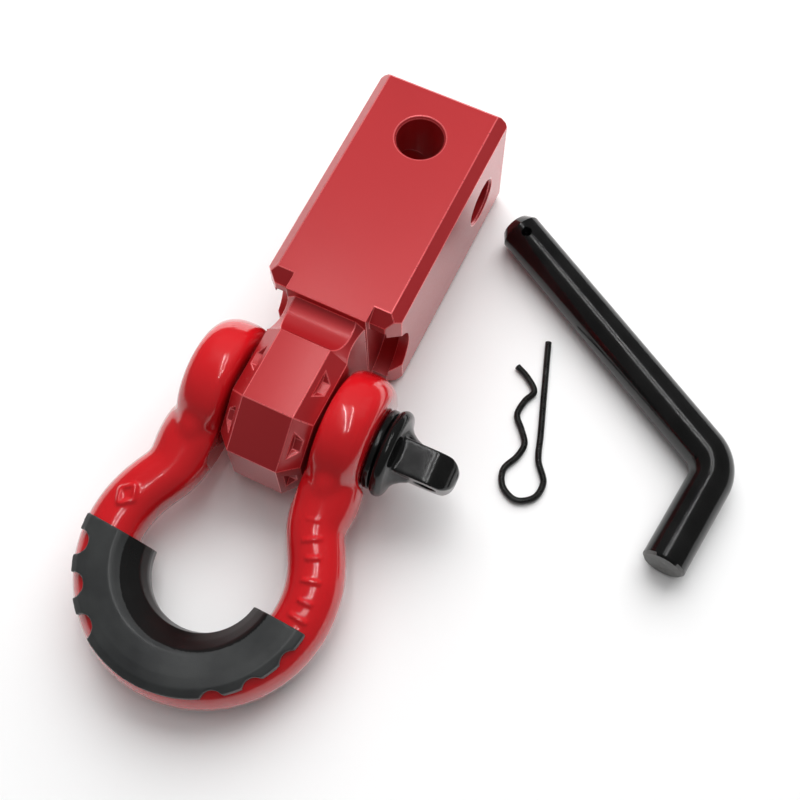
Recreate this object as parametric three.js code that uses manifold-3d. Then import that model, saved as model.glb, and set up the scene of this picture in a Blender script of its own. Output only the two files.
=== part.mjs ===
// Receiver hitch kit: a bow shackle on a square receiver block, laid on a bench with its hitch pin
// and spring clip beside it. Millimetres, +Z up, the bench is z = 0.
// While it is modelled, x = 0 is the block's middle, y = 0 its rear end, and the front looks along -Y.
import * as THREE from 'three';
import { mergeVertices } from 'three/addons/utils/BufferGeometryUtils.js';
import Module from 'manifold-3d';

const wasm = await Module();
wasm.setup();

// ---- Driving dimensions ----------------------------------------------------------------------
const gap = 0.3; // running clearance between pieces that touch
const deg = Math.PI / 180;

// Receiver block: a 2 in square bar
const barSize = 50.8;
const barHalf = barSize / 2;
const longEdgeChamfer = 3.9;
const rearChamfer = 1;
const cornerFrontY = -93; // front of the four corner posts
const cornerChamfer = 4.4;
const tabFrontY = -95.2;
const tabHalfWidth = 15.1;
const bossHalfWidth = 15.2;
const bossSideChamfer = 5.9;
const neckEndY = -109.4;
const pinY = -125.8; // shackle pin bore
const pinBoreRadius = 12;
const hitchHoleY = -21;
const hitchHoleRadius = 8.6;
const hitchHoleChamfer = 0.8;

// Neck grooves, each an arc cut from the bar
const topGroove = { y: -100.9, out: 5.2, radius: 10 };
const sideGroove = { y: -101.6, out: 18.4, radius: 20 };
const postRelief = { y: -97.5, radius: 14.6 };
const innerRelief = { y: -97.5, radius: 17.5, halfWidth: 21.3 };

// Notches round the boss, one in each octagon face on both sides
const notchFloorHalf = 2.1;
const notchDepth = 4.5;
const notchInnerX = 10.8;
const topNotchY = -121.2;

// Shackle: 3/4 in bow with a 7/8 in screw pin. Its frame: x along the pin, -y to the crown
const rodRadius = 10.1;
const crownRadius = 36; // centreline of the crown's arc
const crownCentre = 60.7; // from the pin's axis
const crownArcEnd = 107.4 * deg; // half of the crown's arc, from its middle
const legX = 26.4;
const legStraightStart = 29.5;
const earInnerX = 16.5;
const earOuterX = 34;
const earBoreRadius = 11.45;
const spotFaceRadius = 16.4;
const pinRadius = 11.1;
const collarRadius = 15.6;
const washerRadius = 14.3;
const washerThickness = 2.5;
const collarThickness = 4.8;
const tangThickness = 12;
const tangHalfHeight = 9.5;
const tangEdgeBevel = 1.2;
const tangEndRadius = 5; // rounds the tang's end, seen from above
const eyeX = 54.2;
const eyeRadius = 4;
const tangTilt = 4.8 * deg;
const shackleTilt = 7.5 * deg; // the crown lies on the bench
const shackleYaw = 1.1 * deg; // the bow sits slightly askew within its clearance
const shackleShiftX = -0.5;

// Rubber isolator round the crown
const isolatorEnd = 2.1; // its flat ends, beyond the crown's centre
const isolatorTurn = -4.6 * deg;
const isolatorShift = { x: 0.3, y: -1.3 };
const isolatorRoll = 10 * deg;
const isolatorHalfHeight = 12.2;
const isolatorLip = 42.3;
const scallopRadius = 4.3;
const scallopReach = 43.4;
const scallopAngles = [35.6, 54.6, 73.9];

// Hitch pin: 5/8 in bar with one bend, lying flat
const barPinRadius = 7.95;
const barPinBend = new THREE.Vector2(141.9, -73.6); // where the two legs' axes cross
const longLegLength = 119.5;
const longLegHeading = 150.4 * deg;
const shortLegLength = 42.6;
const shortLegHeading = -96.4 * deg;
const bendRadius = 12.5;
const tipBevel = 3.4; // along the bar
const tipBevelDepth = 2.2;
const crossHoleRadius = 2;
const crossHoleFromTip = 7.7;
const crossHoleLean = 10 * deg; // from upright, away from the bend

// Spring clip: one wire, its route on the bench from the straight arm's end to the wavy arm's end
const wireRadius = 1.2;
const clipRoute = [
  [68.1, -51.4], [74.4, -70], [80.2, -87], [83.4, -96.5], [88.3, -103.5], [87.6, -110], [82, -113.7],
  [75.8, -111], [73.4, -105], [75.9, -98.2], [76.3, -92.8], [73, -88], [69.4, -83.6], [69.7, -77.2],
  [71.3, -72.4], [67.1, -68.3], [61.6, -65.5],
];

// ---- Solids from geometry --------------------------------------------------------------------
function solid(geometry) {
  const bare = geometry.index ? geometry.toNonIndexed() : geometry.clone();
  bare.deleteAttribute('normal');
  bare.deleteAttribute('uv');
  const merged = mergeVertices(bare, 1e-4);
  return new wasm.Manifold(new wasm.Mesh({
    numProp: 3,
    vertProperties: new Float32Array(merged.attributes.position.array),
    triVerts: new Uint32Array(merged.index.array),
  }));
}

function surface(manifold) {
  const mesh = manifold.getMesh();
  const geometry = new THREE.BufferGeometry();
  geometry.setAttribute('position', new THREE.BufferAttribute(mesh.vertProperties, 3));
  geometry.setIndex(new THREE.BufferAttribute(mesh.triVerts, 1));
  geometry.computeVertexNormals();
  return geometry;
}

function outline(points) {
  return new THREE.Shape(points.map(([a, b]) => new THREE.Vector2(a, b)));
}

// A flat outline drawn in (x, z), (y, z) or (x, y), pushed along the third axis from `from` to `to`
function prismXZ(points, from, to) {
  const geometry = new THREE.ExtrudeGeometry(outline(points), { depth: to - from, bevelEnabled: false });
  return solid(geometry.rotateX(Math.PI / 2).translate(0, to, 0));
}

function prismYZ(points, from, to) {
  const geometry = new THREE.ExtrudeGeometry(outline(points), { depth: to - from, bevelEnabled: false });
  return solid(geometry.rotateX(Math.PI / 2).rotateZ(Math.PI / 2).translate(from, 0, 0));
}

function prismXY(points, from, to) {
  const geometry = new THREE.ExtrudeGeometry(outline(points), { depth: to - from, bevelEnabled: false });
  return solid(geometry.translate(0, 0, from));
}

// A body of revolution about the x axis, from [x, radius] points
function turned(profile, segments) {
  const points = profile.map(([x, radius]) => new THREE.Vector2(radius, x));
  return solid(new THREE.LatheGeometry(points, segments).rotateZ(-Math.PI / 2));
}

function rod(radius, length, segments = 32) {
  return new THREE.CylinderGeometry(radius, radius, length, segments);
}

function mirroredX(geometry) {
  return geometry.clone().rotateZ(Math.PI);
}

// ---- Receiver block --------------------------------------------------------------------------
function chamferedSquare(halfX, size, chamfer) {
  return [
    [-halfX + chamfer, 0], [halfX - chamfer, 0], [halfX, chamfer], [halfX, size - chamfer],
    [halfX - chamfer, size], [-halfX + chamfer, size], [-halfX, size - chamfer], [-halfX, chamfer],
  ];
}

function shank() {
  const section = prismXZ(chamferedSquare(barHalf, barSize, longEdgeChamfer), cornerFrontY, 0);
  const front = cornerFrontY + cornerChamfer;
  const plan = prismXY([
    [-barHalf, front], [-barHalf + cornerChamfer, cornerFrontY], [barHalf - cornerChamfer, cornerFrontY],
    [barHalf, front], [barHalf, -rearChamfer], [barHalf - rearChamfer, 0],
    [-barHalf + rearChamfer, 0], [-barHalf, -rearChamfer],
  ], -1, barSize + 1);
  const side = prismYZ([
    [front, 0], [-rearChamfer, 0], [0, rearChamfer], [0, barSize - rearChamfer],
    [-rearChamfer, barSize], [front, barSize], [cornerFrontY, barSize - cornerChamfer],
    [cornerFrontY, cornerChamfer],
  ], -barSize, barSize);
  return section.intersect(plan).intersect(side);
}

// The octagon is cut face by face, each face with its two chamfered edges
function bossAndNeck() {
  const edge = bossHalfWidth - bossSideChamfer;
  const length = -pinY + 2 * barSize;
  let body = solid(new THREE.BoxGeometry(2 * bossHalfWidth, length, 2 * barSize)
    .translate(0, tabFrontY + 1 - length / 2, barHalf));
  for (let face = 0; face < 5; face += 1) {
    const cap = prismXZ([
      [-bossHalfWidth, -length], [bossHalfWidth, -length], [bossHalfWidth, barHalf - bossSideChamfer],
      [edge, barHalf], [-edge, barHalf], [-bossHalfWidth, barHalf - bossSideChamfer],
    ], -length, length);
    body = body.intersect(cap.rotate([face * 45, 0, 0]).translate([0, pinY, barHalf]));
  }
  return body;
}

// A cutter that scoops an arc from the bar's top, turned about the bar's own axis by `turn`
function groove({ y, out, radius }, distance, turn) {
  const cutter = rod(radius, 3 * barSize, 48).rotateZ(Math.PI / 2);
  cutter.translate(0, y, distance + out).rotateY(turn).translate(0, 0, barHalf);
  return solid(cutter);
}

function neckGrooves() {
  const flatToChamfer = (bossHalfWidth + barHalf - bossSideChamfer) * Math.SQRT1_2;
  const cutters = [
    groove(topGroove, barHalf, 0), groove(topGroove, barHalf, Math.PI),
    groove(sideGroove, bossHalfWidth, Math.PI / 2), groove(sideGroove, bossHalfWidth, -Math.PI / 2),
  ];
  for (const turn of [1, 3, 5, 7]) {
    cutters.push(groove(sideGroove, flatToChamfer, turn * Math.PI / 4));
  }
  const all = cutters.reduce((sum, cutter) => sum.add(cutter));
  return all.intersect(solid(new THREE.BoxGeometry(2 * barSize, tabFrontY - neckEndY, 2 * barSize)
    .translate(0, (tabFrontY + neckEndY) / 2, barHalf)));
}

// Round pockets in the front of the corner posts, left and right of the tab
function postReliefs() {
  const outer = solid(rod(postRelief.radius, 2 * barSize, 40).rotateZ(Math.PI / 2)
    .translate(0, postRelief.y, barHalf));
  const inner = solid(rod(innerRelief.radius, 2 * innerRelief.halfWidth, 40).rotateZ(Math.PI / 2)
    .translate(0, innerRelief.y, barHalf));
  const core = solid(new THREE.BoxGeometry(2 * bossHalfWidth, 4 * barSize, 2 * barSize));
  return outer.add(inner).subtract(core);
}

function bossNotches() {
  const openHalf = notchFloorHalf + notchDepth + 1;
  const profile = [
    [-openHalf, 1], [-notchFloorHalf, -notchDepth], [notchFloorHalf, -notchDepth], [openHalf, 1],
  ];
  const length = bossHalfWidth - notchInnerX + 2;
  const cutters = [];
  for (const side of [-1, 1]) {
    for (let face = 0; face < 5; face += 1) {
      const shape = new THREE.ExtrudeGeometry(outline(profile), { depth: length, bevelEnabled: false });
      shape.rotateX(Math.PI / 2).rotateZ(Math.PI / 2).translate(notchInnerX, 0, barHalf);
      if (face === 0) shape.translate(0, topNotchY - pinY, 0);
      if (face === 4) shape.translate(0, pinY - topNotchY, 0);
      shape.rotateX(face * Math.PI / 4).translate(0, pinY, barHalf);
      cutters.push(solid(side > 0 ? shape : shape.translate(-2 * notchInnerX - length, 0, 0)));
    }
  }
  return cutters.reduce((sum, cutter) => sum.add(cutter));
}

function hitchHole() {
  const reach = barHalf + 1;
  const mouth = hitchHoleRadius + hitchHoleChamfer + 1;
  const inner = barHalf - hitchHoleChamfer;
  return turned([
    [-reach, 0], [-reach, mouth], [-inner, hitchHoleRadius], [inner, hitchHoleRadius],
    [reach, mouth], [reach, 0],
  ], 40);
}

function receiverBlock() {
  const tab = solid(new THREE.BoxGeometry(2 * tabHalfWidth, 20, barSize)
    .translate(0, tabFrontY + 10, barHalf));
  const across = hitchHole().translate([0, hitchHoleY, barHalf]);
  const down = hitchHole().rotate([0, 90, 0]).translate([0, hitchHoleY, barHalf]);
  const pinBore = solid(rod(pinBoreRadius, 2 * barSize, 40).rotateZ(Math.PI / 2)
    .translate(0, pinY, barHalf));
  return shank().subtract(postReliefs()).add(tab).add(bossAndNeck())
    .subtract(neckGrooves()).subtract(bossNotches()).subtract(pinBore).subtract(across).subtract(down);
}

// ---- Bow -------------------------------------------------------------------------------------
// Centreline of the right half, from the crown's middle to the ear, in (x, distance from the pin)
function bowHalf() {
  const points = [];
  const arcSteps = 20;
  for (let i = 0; i <= arcSteps; i += 1) {
    const angle = crownArcEnd * i / arcSteps;
    points.push([crownRadius * Math.sin(angle), crownCentre + crownRadius * Math.cos(angle)]);
  }
  const [arcX, arcY] = points[arcSteps];
  const leave = 11.2;
  const arrive = 8;
  const blend = new THREE.CubicBezierCurve(
    new THREE.Vector2(arcX, arcY),
    new THREE.Vector2(arcX + leave * Math.cos(crownArcEnd), arcY - leave * Math.sin(crownArcEnd)),
    new THREE.Vector2(legX, legStraightStart + arrive),
    new THREE.Vector2(legX, legStraightStart),
  );
  for (const point of blend.getPoints(5).slice(1)) points.push([point.x, point.y]);
  points.push([legX - 1.2, 20], [legX - 2.4, 12]);
  return points;
}

function bowCentreline() {
  const half = bowHalf();
  const left = half.slice(1).reverse().map(([x, y]) => new THREE.Vector3(-x, -y, 0));
  const right = half.map(([x, y]) => new THREE.Vector3(x, -y, 0));
  return new THREE.CatmullRomCurve3([...left, ...right], false, 'centripetal');
}

function roundSection(radius, sides) {
  const points = [];
  for (let i = 0; i < sides; i += 1) {
    const angle = 2 * Math.PI * i / sides;
    points.push([radius * Math.cos(angle), radius * Math.sin(angle)]);
  }
  return outline(points);
}

function swept(radius, sides, path, steps) {
  return new THREE.ExtrudeGeometry(roundSection(radius, sides), { steps, extrudePath: path });
}

// One ear: a thick disc with a domed outer face and a flat round the pin
function ear() {
  return turned([
    [earInnerX, 0], [earInnerX, 19.5], [17.6, 21.8], [19.8, 23], [26.5, 23], [30.5, 21.7],
    [33.3, 19.2], [earOuterX, 16], [earOuterX, 0],
  ], 36);
}

function shackleBow() {
  const body = solid(swept(rodRadius, 16, bowCentreline(), 58));
  const between = solid(new THREE.BoxGeometry(2 * earInnerX, 2 * legStraightStart, barSize));
  const bore = solid(rod(earBoreRadius, 3 * barSize, 32).rotateZ(Math.PI / 2));
  const faces = solid(rod(spotFaceRadius, barSize, 36).rotateZ(Math.PI / 2));
  const reach = earOuterX + barSize / 2;
  return body.add(ear()).add(ear().rotate([0, 0, 180])).subtract(between).subtract(bore)
    .subtract(faces.translate([reach, 0, 0])).subtract(faces.translate([-reach, 0, 0]));
}

// ---- Screw pin and washer --------------------------------------------------------------------
const washerX = earOuterX + gap;
const collarX = washerX + washerThickness + gap;

// The flat plate at the pin's head: rounded from the side, with its eye, and rounded from above
function tang(start) {
  const plate = new THREE.Shape();
  plate.moveTo(start, -tangHalfHeight);
  plate.lineTo(eyeX, -tangHalfHeight);
  plate.absarc(eyeX, 0, tangHalfHeight, -Math.PI / 2, Math.PI / 2, false);
  plate.lineTo(start, tangHalfHeight);
  const eye = new THREE.Path();
  eye.absarc(eyeX, 0, eyeRadius, 0, 2 * Math.PI, true);
  plate.holes.push(eye);
  const profile = new THREE.ExtrudeGeometry(plate, {
    depth: tangThickness - 2 * tangEdgeBevel, curveSegments: 14, bevelSegments: 1,
    bevelSize: tangEdgeBevel, bevelThickness: tangEdgeBevel, bevelOffset: -tangEdgeBevel,
  });
  profile.translate(0, 0, -tangThickness / 2 + tangEdgeBevel).rotateX(Math.PI / 2);
  const half = tangThickness / 2;
  const end = eyeX + tangHalfHeight;
  const plan = [[start - 1, -half]];
  for (const side of [-1, 1]) {
    for (let i = 0; i <= 6; i += 1) {
      const angle = (side < 0 ? i - 6 : i) * 15 * deg;
      plan.push([
        end - tangEndRadius + tangEndRadius * Math.cos(angle),
        side * (half - tangEndRadius) + tangEndRadius * Math.sin(angle),
      ]);
    }
  }
  plan.push([start - 1, half]);
  return solid(profile).intersect(prismXY(plan, -barHalf, barHalf)).rotate([tangTilt / deg, 0, 0]);
}

function shacklePin() {
  const tip = -earOuterX;
  const collarEnd = collarX + collarThickness;
  const shaft = turned([
    [tip, 0], [tip, pinRadius - 1.5], [tip + 1.5, pinRadius], [collarX, pinRadius],
    [collarX, collarRadius - 1.8], [collarX + 0.6, collarRadius - 0.7], [collarX + 1.7, collarRadius],
    [collarEnd - 1.7, collarRadius], [collarEnd - 0.6, collarRadius - 0.7],
    [collarEnd, collarRadius - 2.2], [collarEnd + 0.5, 11.6], [collarEnd + 1.8, 9.6],
    [collarEnd + 4, 8], [collarEnd + 6.5, 7], [collarEnd + 6.5, 0],
  ], 32);
  return shaft.add(tang(collarEnd - 2));
}

function pinWasher() {
  const bore = pinRadius + gap;
  const end = washerX + washerThickness;
  return turned([
    [washerX, bore], [washerX, washerRadius - 0.4], [washerX + 0.4, washerRadius],
    [end - 0.4, washerRadius], [end, washerRadius - 0.4], [end, bore], [washerX, bore],
  ], 32);
}

// ---- Isolator --------------------------------------------------------------------------------
// Outer section of the rubber in (distance from the crown's centre, height); the bow's channel is
// cut from it afterwards
function isolatorSection() {
  const upper = [
    [19.5, 0.8], [20.4, 5], [27, 11.2], [28.4, 12], [36, isolatorHalfHeight], [39.6, 11.9],
    [isolatorLip, 10.6],
  ];
  const lower = upper.slice().reverse().map(([r, z]) => [r, -z]);
  return [...upper, ...lower, upper[0]].reverse();
}

function bowIsolator() {
  const points = isolatorSection().map(([r, z]) => new THREE.Vector2(r, z));
  const ring = new THREE.LatheGeometry(points, 60).rotateX(Math.PI / 2);
  // The rubber sits rolled a little round the rod, one way on the left leg's side and the other
  // way on the right's
  const position = ring.attributes.position;
  for (let i = 0; i < position.count; i += 1) {
    const [x, y, z] = [position.getX(i), position.getY(i), position.getZ(i)];
    const reach = Math.hypot(x, y);
    const roll = isolatorRoll * x / reach;
    const rolled = crownRadius + (reach - crownRadius) * Math.cos(roll) - z * Math.sin(roll);
    const height = (reach - crownRadius) * Math.sin(roll) + z * Math.cos(roll);
    position.setXYZ(i, x * rolled / reach, y * rolled / reach, height);
  }
  const half = solid(new THREE.BoxGeometry(4 * crownRadius, 2 * crownRadius, barSize)
    .translate(0, -crownRadius - isolatorEnd, 0));
  const cutters = [];
  for (const side of [-1, 1]) {
    for (const angle of scallopAngles) {
      const x = side * scallopReach * Math.sin(angle * deg);
      const y = -scallopReach * Math.cos(angle * deg);
      cutters.push(solid(rod(scallopRadius, barSize, 16).rotateX(Math.PI / 2).translate(x, y, 0)));
    }
  }
  const scallops = cutters.reduce((sum, cutter) => sum.add(cutter));
  const channel = solid(swept(rodRadius + gap, 16, bowCentreline(), 58));
  return solid(ring).intersect(half).subtract(scallops)
    .rotate([0, 0, isolatorTurn / deg])
    .translate([isolatorShift.x, isolatorShift.y - crownCentre, 0])
    .subtract(channel);
}

// ---- Loose hitch pin and clip ----------------------------------------------------------------
function headingVector(heading) {
  return new THREE.Vector2(Math.cos(heading), Math.sin(heading));
}

function hitchPinPath() {
  const toTip = headingVector(longLegHeading);
  const toEnd = headingVector(shortLegHeading);
  const bendAngle = Math.PI - toTip.angleTo(toEnd);
  const tangent = bendRadius * Math.tan(bendAngle / 2);
  const at = (direction, distance) => {
    const point = barPinBend.clone().addScaledVector(direction, distance);
    return new THREE.Vector3(point.x, point.y, barPinRadius);
  };
  const path = new THREE.CurvePath();
  path.add(new THREE.LineCurve3(at(toTip, longLegLength - tipBevel), at(toTip, tangent)));
  const handle = 4 / 3 * Math.tan(bendAngle / 4) * bendRadius;
  path.add(new THREE.CubicBezierCurve3(at(toTip, tangent), at(toTip, tangent - handle),
    at(toEnd, tangent - handle), at(toEnd, tangent)));
  path.add(new THREE.LineCurve3(at(toEnd, tangent), at(toEnd, shortLegLength)));
  return path;
}

function hitchPin() {
  const body = solid(swept(barPinRadius, 20, hitchPinPath(), 36));
  const tip = barPinBend.clone().addScaledVector(headingVector(longLegHeading), longLegLength);
  const bevel = turned([
    [-tipBevel - gap, 0], [-tipBevel - gap, barPinRadius], [-tipBevel, barPinRadius],
    [0, barPinRadius - tipBevelDepth], [0, 0],
  ], 20).rotate([0, 0, longLegHeading / deg]).translate([tip.x, tip.y, barPinRadius]);
  const hole = barPinBend.clone()
    .addScaledVector(headingVector(longLegHeading), longLegLength - crossHoleFromTip);
  const drill = solid(rod(crossHoleRadius, barSize, 16).rotateX(Math.PI / 2 + crossHoleLean)
    .rotateZ(longLegHeading - Math.PI).translate(hole.x, hole.y, barPinRadius));
  return body.add(bevel).subtract(drill);
}

function springClip() {
  const route = clipRoute.map(([x, y]) => new THREE.Vector3(x, y, wireRadius));
  const path = new THREE.CatmullRomCurve3(route, false, 'centripetal');
  return solid(swept(wireRadius, 8, path, 70));
}

// ---- Materials and scene graph ---------------------------------------------------------------
const anodisedRed = new THREE.MeshStandardMaterial({ color: 0xb3262c, roughness: 0.38, metalness: 0.9 });
const powderRed = new THREE.MeshStandardMaterial({ color: 0xc8151b, roughness: 0.22, metalness: 0 });
const blackGloss = new THREE.MeshStandardMaterial({ color: 0x0b0b0c, roughness: 0.2, metalness: 0.1 });
const blackWire = new THREE.MeshStandardMaterial({ color: 0x141414, roughness: 0.35, metalness: 0.3 });
const darkRubber = new THREE.MeshStandardMaterial({ color: 0x3a3b3a, roughness: 0.65, metalness: 0 });

function part(name, manifold, material) {
  const mesh = new THREE.Mesh(surface(manifold), material);
  mesh.name = name;
  return mesh;
}

const bench = new THREE.Group();
bench.add(part('receiver_block', receiverBlock(), anodisedRed));
bench.add(part('hitch_pin', hitchPin(), blackGloss));
bench.add(part('hitch_pin_clip', springClip(), blackWire));

const shackle = new THREE.Group();
shackle.position.set(shackleShiftX, pinY, barHalf);
shackle.rotation.set(shackleTilt, 0, shackleYaw, 'ZYX');
shackle.add(part('shackle_bow', shackleBow(), powderRed));
shackle.add(part('shackle_pin', shacklePin(), blackGloss));
shackle.add(part('pin_washer', pinWasher(), blackGloss));
shackle.add(part('bow_isolator', bowIsolator(), darkRubber));
bench.add(shackle);

// The kit's origin is the middle of its footprint on the bench
const footprint = new THREE.Box3().setFromObject(bench, true);
const middle = footprint.getCenter(new THREE.Vector3());
bench.position.set(-middle.x, -middle.y, -footprint.min.z);

const kit = new THREE.Group();
kit.add(bench);

export default kit;
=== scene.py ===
"""Looks of the receiver shackle kit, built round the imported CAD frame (Blender 4.5)."""
import math

import bmesh
import bpy
from mathutils import Matrix, Vector


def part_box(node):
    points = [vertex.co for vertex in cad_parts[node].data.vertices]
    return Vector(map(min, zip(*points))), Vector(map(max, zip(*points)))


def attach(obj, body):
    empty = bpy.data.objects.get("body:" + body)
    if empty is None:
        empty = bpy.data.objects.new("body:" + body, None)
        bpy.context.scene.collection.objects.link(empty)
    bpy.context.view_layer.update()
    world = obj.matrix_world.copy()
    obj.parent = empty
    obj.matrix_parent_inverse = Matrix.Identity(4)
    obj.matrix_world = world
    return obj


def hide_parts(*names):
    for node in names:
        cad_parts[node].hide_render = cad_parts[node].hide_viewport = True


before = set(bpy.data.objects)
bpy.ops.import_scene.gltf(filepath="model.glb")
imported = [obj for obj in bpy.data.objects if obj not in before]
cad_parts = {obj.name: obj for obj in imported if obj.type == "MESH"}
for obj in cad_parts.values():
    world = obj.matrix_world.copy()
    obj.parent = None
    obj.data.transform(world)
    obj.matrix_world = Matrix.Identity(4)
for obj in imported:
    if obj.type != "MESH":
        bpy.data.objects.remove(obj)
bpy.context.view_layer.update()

MM = 0.001
GAP = 0.3

# ---- The bench frame: x = 0 on the block's middle, y = 0 at its rear end, millimetres ----------
block_low, block_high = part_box("receiver_block")
BENCH = Vector(((block_low.x + block_high.x) / 2, block_high.y, 0.0)) / MM
BAR = (block_high.x - block_low.x) / MM
HALF = BAR / 2
PIN_Y = -125.8


def bench_matrix():
    return Matrix.Scale(MM, 4) @ Matrix.Translation(BENCH)


def shackle_matrix():
    """The shackle's own frame: x along its pin, -y to the crown."""
    place = Matrix.Translation((-0.5, PIN_Y, HALF))
    turn = Matrix.Rotation(math.radians(1.1), 4, "Z") @ Matrix.Rotation(math.radians(7.5), 4, "X")
    return bench_matrix() @ place @ turn


# ---- Mesh helpers (all in millimetres until a piece is placed) ----------------------------------
def new_object(name, bm):
    mesh = bpy.data.meshes.new(name)
    bmesh.ops.recalc_face_normals(bm, faces=bm.faces)
    bm.to_mesh(mesh)
    bm.free()
    obj = bpy.data.objects.new(name, mesh)
    bpy.context.scene.collection.objects.link(obj)
    return obj


def bake(obj):
    """Applies every modifier on obj."""
    bpy.context.view_layer.update()
    graph = bpy.context.evaluated_depsgraph_get()
    mesh = bpy.data.meshes.new_from_object(obj.evaluated_get(graph))
    old = obj.data
    obj.modifiers.clear()
    obj.data = mesh
    bpy.data.meshes.remove(old)
    return obj


def discard(obj):
    mesh = obj.data
    bpy.data.objects.remove(obj)
    bpy.data.meshes.remove(mesh)


def boolean(obj, other, operation="DIFFERENCE"):
    modifier = obj.modifiers.new("cut", "BOOLEAN")
    modifier.operation = operation
    modifier.object = other
    modifier.solver = "EXACT"
    bake(obj)
    discard(other)
    return obj


def joined(obj, *others):
    """Puts the others' meshes into obj's, without a boolean."""
    bm = bmesh.new()
    bm.from_mesh(obj.data)
    for other in others:
        other.data.transform(other.matrix_world)
        bm.from_mesh(other.data)
        discard(other)
    bm.to_mesh(obj.data)
    bm.free()
    return obj


def transform(obj, matrix):
    obj.data.transform(matrix)
    if matrix.determinant() < 0:
        obj.data.flip_normals()
    return obj


def remeshed(obj, voxel, smooth_steps):
    modifier = obj.modifiers.new("remesh", "REMESH")
    modifier.mode = "VOXEL"
    modifier.voxel_size = voxel
    modifier.use_smooth_shade = True
    if smooth_steps:
        soften = obj.modifiers.new("soften", "SMOOTH")
        soften.factor = 0.5
        soften.iterations = smooth_steps
    return bake(obj)


def box(low, high):
    bm = bmesh.new()
    bmesh.ops.create_cube(bm, size=1.0)
    low, high = Vector(low), Vector(high)
    bmesh.ops.scale(bm, vec=high - low, verts=bm.verts)
    bmesh.ops.translate(bm, vec=(low + high) / 2, verts=bm.verts)
    return bm


def clipped(name, low, high, planes):
    """A box cut by planes, each (point, outward normal)."""
    bm = box(low, high)
    for point, normal in planes:
        geometry = bm.verts[:] + bm.edges[:] + bm.faces[:]
        cut = bmesh.ops.bisect_plane(bm, geom=geometry, plane_co=point, plane_no=normal,
                                     clear_outer=True)
        edges = [item for item in cut["geom_cut"] if isinstance(item, bmesh.types.BMEdge)]
        if edges:
            bmesh.ops.contextual_create(bm, geom=edges)
    return new_object(name, bm)


def turned(name, profile, segments, ring=False):
    """A body of revolution about x from (x, radius) points; a ring's profile closes on itself."""
    bm = bmesh.new()
    rows = []
    for x, radius in profile:
        if radius < 1e-6:
            rows.append([bm.verts.new((x, 0, 0))])
            continue
        row = []
        for i in range(segments):
            angle = 2 * math.pi * i / segments
            row.append(bm.verts.new((x, radius * math.cos(angle), radius * math.sin(angle))))
        rows.append(row)
    pairs = list(zip(rows, rows[1:]))
    if ring:
        pairs.append((rows[-1], rows[0]))
    for a, b in pairs:
        for i in range(segments):
            j = (i + 1) % segments
            corners = [a[i % len(a)], a[j % len(a)], b[j % len(b)], b[i % len(b)]]
            unique = list(dict.fromkeys(corners))
            if len(unique) > 2:
                bm.faces.new(unique)
    return new_object(name, bm)


def cylinder_x(name, radius, x0, x1, segments=96, y=0.0, z=0.0):
    obj = turned(name, [(x0, 0), (x0, radius), (x1, radius), (x1, 0)], segments)
    return transform(obj, Matrix.Translation((0, y, z)))


def swept(name, stations, sides):
    """A round bar in a plane of constant z through stations of (x, y, z, radius)."""
    bm = bmesh.new()
    points = [Vector(station[:3]) for station in stations]
    up = Vector((0, 0, 1))
    rows = []
    for i, point in enumerate(points):
        before = [p for p in points[:i] if (p - point).length > 1e-4][-1:] or [point]
        after = [p for p in points[i + 1:] if (p - point).length > 1e-4][:1] or [point]
        side = up.cross((after[0] - before[0]).normalized())
        radius = stations[i][3]
        if radius < 1e-6:
            rows.append([bm.verts.new(point)])
            continue
        row = []
        for k in range(sides):
            angle = 2 * math.pi * k / sides
            row.append(bm.verts.new(point + side * (radius * math.cos(angle))
                                    + up * (radius * math.sin(angle))))
        rows.append(row)
    for a, b in zip(rows, rows[1:]):
        for k in range(sides):
            j = (k + 1) % sides
            corners = [a[k % len(a)], a[j % len(a)], b[j % len(b)], b[k % len(b)]]
            unique = list(dict.fromkeys(corners))
            if len(unique) > 2:
                bm.faces.new(unique)
    return new_object(name, bm)


def shade(obj, angle=30.0):
    """Smooth shading with hard edges where faces meet at more than this many degrees."""
    for polygon in obj.data.polygons:
        polygon.use_smooth = True
    bm = bmesh.new()
    bm.from_mesh(obj.data)
    limit = math.radians(angle)
    for edge in bm.edges:
        edge.smooth = len(edge.link_faces) == 2 and edge.calc_face_angle(0) < limit
    bm.to_mesh(obj.data)
    bm.free()
    return obj


def edge_bevel(obj, width, material):
    """Bevels the sharp edges and gives the bevels the material with this index."""
    modifier = obj.modifiers.new("edges", "BEVEL")
    modifier.width = width
    modifier.segments = 2
    modifier.limit_method = "ANGLE"
    modifier.angle_limit = math.radians(25.0)
    modifier.use_clamp_overlap = False
    modifier.harden_normals = False
    modifier.material = material
    return bake(obj)


def dissolve_flat(obj, angle=0.5):
    bm = bmesh.new()
    bm.from_mesh(obj.data)
    bmesh.ops.remove_doubles(bm, verts=bm.verts, dist=0.02)
    bmesh.ops.dissolve_limit(bm, angle_limit=math.radians(angle), verts=bm.verts, edges=bm.edges)
    bm.to_mesh(obj.data)
    bm.free()
    return obj


def finish_piece(obj, matrix, body, replaced, materials):
    transform(obj, matrix)
    if len(obj.data.materials) != len(materials):
        obj.data.materials.clear()
        for material in materials:
            obj.data.materials.append(material)
    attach(obj, body)
    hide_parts(replaced)
    return obj


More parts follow.
